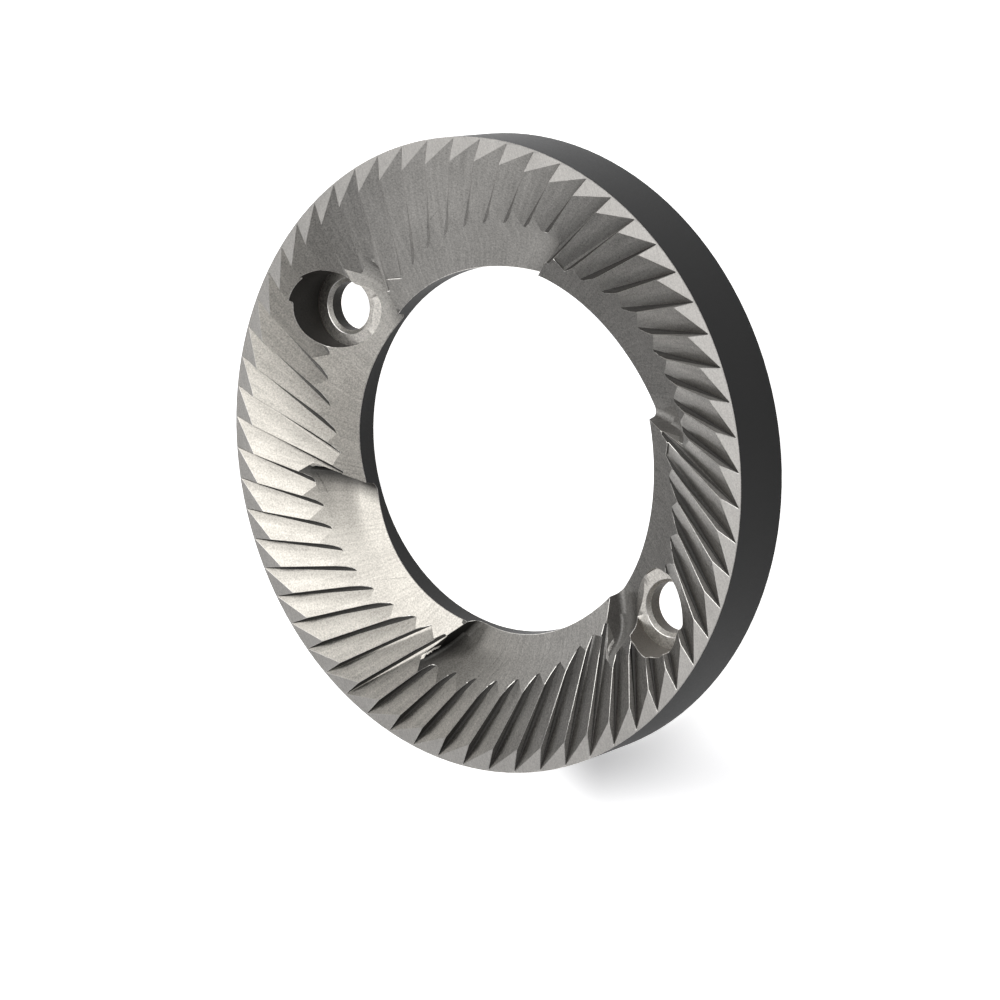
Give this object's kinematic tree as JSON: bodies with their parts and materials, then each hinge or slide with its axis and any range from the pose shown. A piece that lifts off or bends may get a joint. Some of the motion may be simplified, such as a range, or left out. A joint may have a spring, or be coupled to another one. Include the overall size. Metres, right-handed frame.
{
  "type": "flat grinding burr",
  "caption": "Flat steel grinding burr for a coffee grinder: a ring with slanted saw teeth, stepped feed ramps around its bore and counterbored screw holes.",
  "frame": {"origin": "centre of the flat back face, on the axis of the bore", "axes": "+Z along the bore's axis, from the flat back towards the teeth; the screw holes lie on the X axis"},
  "size_m": [0.0596, 0.0596, 0.007],
  "materials": {
    "steel": "satin, finely ground"
  },
  "bodies": {
    "root": {"grinder_burr": "steel"}
  },
  "joints": []
}
